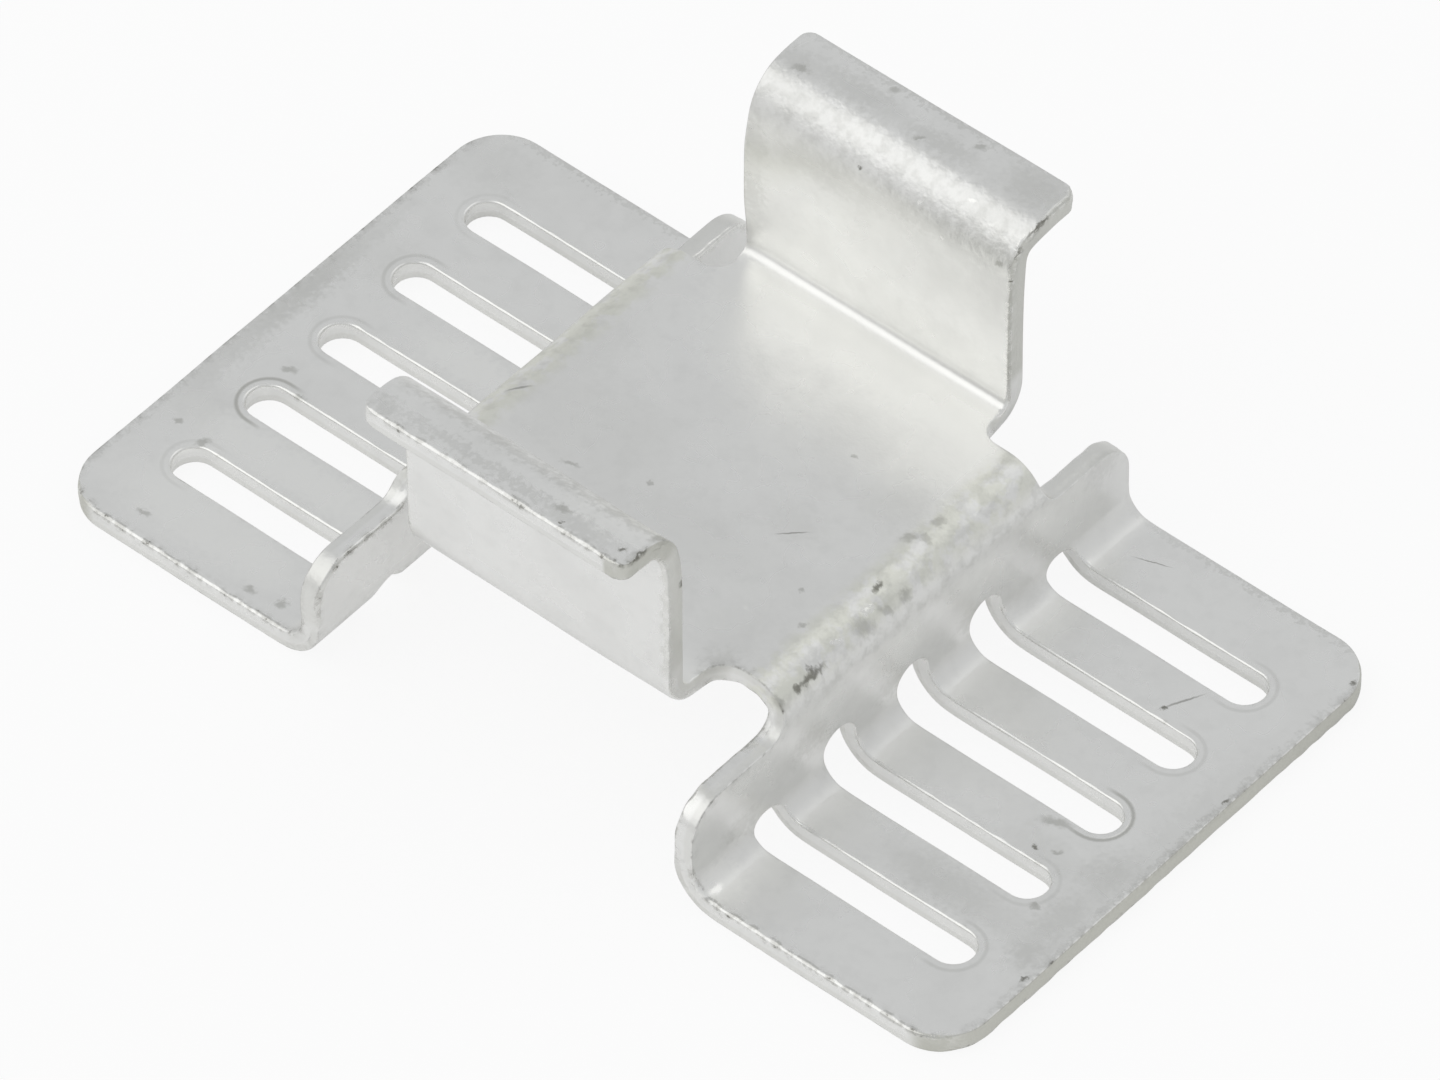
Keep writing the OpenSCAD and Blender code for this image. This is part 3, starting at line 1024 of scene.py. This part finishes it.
def satin_tin_plate(finish, above):
    """Satin tin electroplated on stamped copper sheet.

    The eye sees a pale, nearly white metal whose soft sheen blurs what stands near it. It is
    faintly smudged, grainy where a bend has stretched it, bright on the edges that the punch
    rolled, partly burnish and partly painted highlight, dull where the cut tore, and nicked down to
    dark metal in a few places. Painted shade darkens soft patches, the wings' edges, the slots'
    tops, the rings round the slots' ends and the torn cuts, and painted highlights brighten the
    walls' feet, small glints and wide patches.
    """
    material = bpy.data.materials.new("satin_tin_plate")
    material.use_nodes = True
    tree = material.node_tree
    tree.nodes.clear()
    place = add(tree, "ShaderNodeTexCoord", out="Object")
    blank = add(tree, ATTRIBUTE, out="Vector", attribute_name="blank")
    rim, strain, roll, tear_and_shade, speck, slot_end = (
        add(tree, ATTRIBUTE, out="Fac", attribute_name=name)
        for name in ("rim", "strain", "roll", "tear_and_shade", "speck", "slot_end")
    )

    # Pattern sizes in millimetres: finger smudges, mottled plating, specks along the rims, dents
    # of stretched metal, and satin grain. The real grain is about 0.02 mm, too fine to show, so
    # it is 0.11 mm.
    jagged = 0.6
    cloudy, mottled, fine, dents, grain = (
        add(
            tree, NOISE, out="Fac",
            inputs={"Vector": place, "Scale": per_mm(size), "Detail": detail, "Roughness": jagged},
        )
        for size, detail in ((2.2, 3), (0.5, 3), (0.22, 3), (0.32, 2), (0.11, 2))
    )
    # The ring round a slot's end lies between two distances from the cut
    ring_in, ring_in_full, ring_out_full, ring_out = 0.13 * MM, 0.19 * MM, 0.21 * MM, 0.28 * MM
    cloud, mottle, hazy, broken, sparse, uneven, ringed, outside = (
        add(tree, RANGE, (pattern, low, high), interpolation_type="SMOOTHSTEP")
        for pattern, low, high in (
            (cloudy, 0.42, 0.66),
            (mottled, 0.45, 0.72),
            (mottled, 0.38, 0.55),
            (fine, 0.42, 0.6),
            (fine, 0.62, 0.72),
            (dents, 0.42, 0.66),
            (rim, ring_in, ring_in_full),
            (rim, ring_out, ring_out_full),
        )
    )
    stretched = add(tree, MATH, (strain, 0.0), operation="MAXIMUM")
    squeezed = add(tree, MATH, (strain, 0.0), operation="MINIMUM")
    squeezed = add(tree, MATH, (squeezed, -1.0), operation="MULTIPLY")

    scatter = add(
        tree, NOISE, out="Color",
        inputs={"Vector": blank, "Scale": per_mm(0.14), "Detail": 3, "Roughness": jagged},
    )
    shift = add(tree, VECTOR_MATH, (scatter, (0.5, 0.5, 0.5)), operation="SUBTRACT")
    nicks, scratches, blots, painted_glints, shade_patches, faint_shades, lit_patches = (
        ragged_marks(tree, blank, shift, marks, wander, fade, above)
        for marks, wander, fade in (
            (NICKS, 0.075, (0.32, 0.85)),
            (SCRATCHES, 0.015, (0.3, 0.8)),
            (BLOTS, 0.07, (0.2, 0.8)),
            (PAINTED_GLINTS, 0.06, (0.4, 0.75)),
            (SHADE_PATCHES, 0.25, (0.05, 0.9)),
            (FAINT_SHADES, 0.25, (0.05, 0.9)),
            (LIT_PATCHES, 0.25, (0.05, 0.7)),
        )
    )

    worn, near_bend, foot = bend_band_masks(tree, blank, mottled)
    ring, hazy, uneven, rolled, dim, specks, dented = (
        add(tree, MATH, pair, operation="MULTIPLY")
        for pair in (
            (ringed, outside), (near_bend, hazy), (uneven, stretched), (roll, broken),
            (speck, broken), (speck, sparse), (dents, stretched),
        )
    )
    ring = add(tree, MATH, (ring, slot_end), operation="MULTIPLY")
    # Rolled edges tinted bright, partly burnish and partly painted highlight, and the painted
    # glints
    bright = add(tree, MATH, (rolled, painted_glints), operation="MAXIMUM")
    dark = add(tree, MATH, (nicks, specks), operation="MAXIMUM")

    # Each layer's colour, where it lies and how much it covers, from the lowest to the top; some
    # layers are painted highlight or painted shade
    tint = (*finish.tin, 1)
    for name, mask, strength in (
        ("tin_shade", cloud, 0.3),
        ("tin_shade", mottle, 0.3),
        ("haze", hazy, 0.45),
        # Painted highlight along the walls' feet
        ("burnished_and_highlight", foot, 0.72),
        # Painted light: wide brighter patches
        ("burnished_and_highlight", lit_patches, 0.6),
        ("blot", uneven, 0.2),
        # Torn cuts tinted darker: dull tear and painted shade
        ("cut_tin_and_shade", tear_and_shade, 0.9),
        ("burnished_and_highlight", bright, 0.6),
        # Painted shade in the ring pressed round each slot's end
        ("blot", ring, 0.6),
        ("blot", blots, 0.5),
        # Grey band below the walls' upper bends, partly wear and partly painted shade
        ("blot", worn, 0.15),
        # Painted shade: soft grey patches
        ("blot", shade_patches, 0.22),
        # Painted shade: wide faint patches
        ("blot", faint_shades, 0.1),
        ("nick", scratches, 0.5),
        ("nick", dim, 0.35),
        ("nick", dark, 0.72),
    ):
        how_far = add(tree, MATH, (mask, strength), operation="MULTIPLY")
        over = (*getattr(finish, name), 1)
        tint = add(
            tree, MIX, {"Factor": how_far, "A": tint, "B": over}, out="Result", data_type="RGBA"
        )

    cloud_rough = 0.04
    rough = add(tree, MATH, (cloud, cloud_rough, finish.roughness), operation="MULTIPLY_ADD")
    for name, mask in (
        ("stretched_roughness", stretched),
        ("squeezed_roughness", squeezed),
        ("torn_roughness", tear_and_shade),
        ("burnished_roughness", bright),
        ("torn_roughness", dark),
    ):
        over = getattr(finish, name)
        rough = add(tree, MIX, {"Factor": mask, "A": rough, "B": over}, out="Result")

    # The grain is higher round the outside of a bend and on torn metal, and a bend has soft dents
    torn_h = 1.5 * finish.stretch_h
    relief = finish.grain_h
    for mask, height in ((stretched, finish.stretch_h), (tear_and_shade, torn_h)):
        relief = add(tree, MATH, (mask, height, relief), operation="MULTIPLY_ADD")
    relief = add(tree, MATH, (grain, relief), operation="MULTIPLY")
    for mask, height in ((dented, finish.dent_h), (ring, -finish.ring_h)):
        relief = add(tree, MATH, (mask, height, relief), operation="MULTIPLY_ADD")
    bumped = add(tree, "ShaderNodeBump", {"Height": relief, "Distance": 1.0, "Strength": 1.0})

    surface = add(
        tree, "ShaderNodeBsdfPrincipled",
        {"Base Color": tint, "Metallic": 1.0, "Roughness": rough, "Normal": bumped},
    )
    add(tree, "ShaderNodeOutputMaterial", {"Surface": surface})
    return material


def white_floor(stage):
    """Matt white paper under soft light.

    The camera and the metal see it as white, while its own matt shading keeps the part's shadow.
    In the metal's reflections it glows whiter in front of the part than behind: painted light where
    the key light falls, and painted shade behind the part.
    """
    material = bpy.data.materials.new("matt_white_paper")
    material.use_nodes = True
    tree = material.node_tree
    tree.nodes.clear()
    camera, glossy, through = (
        add(tree, "ShaderNodeLightPath", out=f"Is {kind} Ray")
        for kind in ("Camera", "Glossy", "Transmission")
    )
    seen = add(tree, MATH, (camera, through), operation="MAXIMUM")
    white = add(tree, MATH, (seen, stage.white_seen), operation="MULTIPLY")
    place = add(tree, "ShaderNodeTexCoord", out="Object")
    depth = add(tree, "ShaderNodeSeparateXYZ", (place,), out="Y")
    # Painted light in front and painted shade behind, in the metal's reflections of the floor
    front_y, behind_y = 2 * MM, 8 * MM
    ends = (front_y, behind_y, stage.white_front, stage.white_behind)
    mirrored = add(tree, RANGE, (depth, *ends), interpolation_type="SMOOTHSTEP")
    mirrored = add(tree, MATH, (glossy, mirrored), operation="MULTIPLY")
    white = add(tree, MATH, (white, mirrored), operation="MAXIMUM")
    matt = add(tree, "ShaderNodeBsdfDiffuse", {"Color": (*stage.floor_colour, 1)})
    glow = add(tree, "ShaderNodeEmission", {"Color": (1, 1, 1, 1), "Strength": 1.0})
    paper = add(tree, "ShaderNodeMixShader", (white, matt, glow))
    add(tree, "ShaderNodeOutputMaterial", {"Surface": paper})
    return material


def add_floor(stage):
    """A level square just below the wings."""
    half = stage.floor_size / 2
    below = -0.03 * MM
    corners = ((-half, -half), (half, -half), (half, half), (-half, half))
    places = np.array([(x, y, below) for x, y in corners])
    floor = add_piece("floor", places, [[0, 1, 2, 3]], {}, white_floor(stage))


def toward(azimuth, elevation):
    """The direction from the origin to a lamp or camera, from its angles in radians."""
    level = math.cos(elevation)
    return Vector((math.sin(azimuth) * level, -math.cos(azimuth) * level, math.sin(elevation)))


def add_lamp(name, azimuth, elevation, size, brightness, tint):
    """A square soft box that faces the origin. brightness is what its face adds to the studio."""
    lamp = bpy.data.lights.new(name, "AREA")
    lamp.color = tint
    lamp.shape = "SQUARE"
    lamp.size = size
    lamp.energy = brightness * math.pi * size**2
    holder = bpy.data.objects.new(name, lamp)
    back = toward(math.radians(azimuth), math.radians(elevation))
    holder.location = back * LAMP_DISTANCE
    holder.rotation_mode = "QUATERNION"
    holder.rotation_quaternion = (-back).to_track_quat("-Z", "Y")
    holder.visible_camera = False
    bpy.context.scene.collection.objects.link(holder)


def add_world(stage):
    """An even pale studio, a little greyer overhead than at the horizon."""
    world = bpy.data.worlds.new("pale_studio")
    bpy.context.scene.world = world
    world.use_nodes = True
    tree = world.node_tree
    tree.nodes.clear()
    way = add(tree, "ShaderNodeTexCoord", out="Generated")
    up = add(tree, "ShaderNodeSeparateXYZ", (way,), out="Z")
    horizon, overhead = 0.0, 0.45
    height = add(tree, RANGE, (up, horizon, overhead), interpolation_type="SMOOTHSTEP")
    ends = {"Factor": height, "A": (*stage.horizon, 1), "B": (*stage.overhead, 1)}
    level = add(tree, MIX, ends, out="Result", data_type="RGBA")
    sky = add(tree, "ShaderNodeBackground", {"Color": level, "Strength": 1.0})
    add(tree, "ShaderNodeOutputWorld", {"Surface": sky})


def add_camera(stage):
    """The camera at the photograph's angle, with the origin at its pixel of the photograph."""
    back = toward(stage.azimuth, stage.elevation)
    level = Vector((math.cos(stage.azimuth), math.sin(stage.azimuth), 0))
    upright = back.cross(level)
    cos_roll, sin_roll = math.cos(stage.roll), math.sin(stage.roll)
    right = level * cos_roll + upright * sin_roll
    up = upright * cos_roll - level * sin_roll
    across = (stage.origin_u - PHOTO_W / 2) / stage.focal_px * stage.distance
    down = (stage.origin_v - PHOTO_H / 2) / stage.focal_px * stage.distance
    data = bpy.data.cameras.new("camera")
    data.sensor_width = SENSOR_W
    data.lens = stage.focal_px / PHOTO_W * SENSOR_W
    data.clip_start, data.clip_end = 0.01, 20
    camera = bpy.data.objects.new("camera", data)
    turn = Matrix((right, up, back)).transposed().to_4x4()
    turn.translation = back * stage.distance - right * across + up * down
    camera.matrix_world = turn
    bpy.context.scene.collection.objects.link(camera)
    bpy.context.scene.camera = camera


class HEATSINK_OT_fold_sheet(bpy.types.Operator):
    """Build the stamped and folded sheet in place of the plain one"""

    bl_idname = "heatsink.fold_sheet"
    bl_label = "Fold sheet"

    def execute(self, context):
        scene = context.scene
        material = satin_tin_plate(scene.tin_finish, scene.sheet_sizes.sheet_t / 2)
        sheet = fold_sheet(scene.sheet_sizes, scene.edge_sizes, material)
        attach(sheet, "root")
        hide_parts("heat_sink")
        return {"FINISHED"}


class HEATSINK_OT_set_stage(bpy.types.Operator):
    """Add the floor, the soft light and the camera"""

    bl_idname = "heatsink.set_stage"
    bl_label = "Set stage"

    def execute(self, context):
        stage = context.scene.stage_sizes
        add_floor(stage)
        add_world(stage)
        for name, place in LAMPS.items():
            add_lamp(name, *place, stage.lamp_tint)
        add_camera(stage)
        context.scene.view_settings.view_transform = "Standard"
        return {"FINISHED"}


class HEATSINK_PT_sidebar(bpy.types.Panel):
    """Sizes, finish and stage of the heat sink"""

    bl_idname = "HEATSINK_PT_sidebar"
    bl_label = "Heat sink"
    bl_space_type = "VIEW_3D"
    bl_region_type = "UI"
    bl_category = "Heat sink"

    def draw(self, context):
        for group in GROUPS:
            box = self.layout.box()
            for key in GROUPS[group].__annotations__:
                box.prop(getattr(context.scene, group), key)
        for operator in (HEATSINK_OT_fold_sheet, HEATSINK_OT_set_stage):
            self.layout.operator(operator.bl_idname)


GROUPS = {
    "sheet_sizes": SheetSizes,
    "edge_sizes": EdgeSizes,
    "tin_finish": TinFinish,
    "stage_sizes": StageSizes,
}
CLASSES = (*GROUPS.values(), HEATSINK_OT_fold_sheet, HEATSINK_OT_set_stage, HEATSINK_PT_sidebar)


def register():
    """Registers the classes and hangs the property groups on the scene."""
    for item in CLASSES:
        bpy.utils.register_class(item)
    for key, group in GROUPS.items():
        setattr(bpy.types.Scene, key, PointerProperty(type=group))


def unregister():
    """Takes the property groups and the classes away again."""
    for key in GROUPS:
        delattr(bpy.types.Scene, key)
    for item in reversed(CLASSES):
        bpy.utils.unregister_class(item)


def main():
    """Builds the heat sink and its stage."""
    register()
    bpy.ops.heatsink.fold_sheet()
    bpy.ops.heatsink.set_stage()


if __name__ == "__main__":
    main()
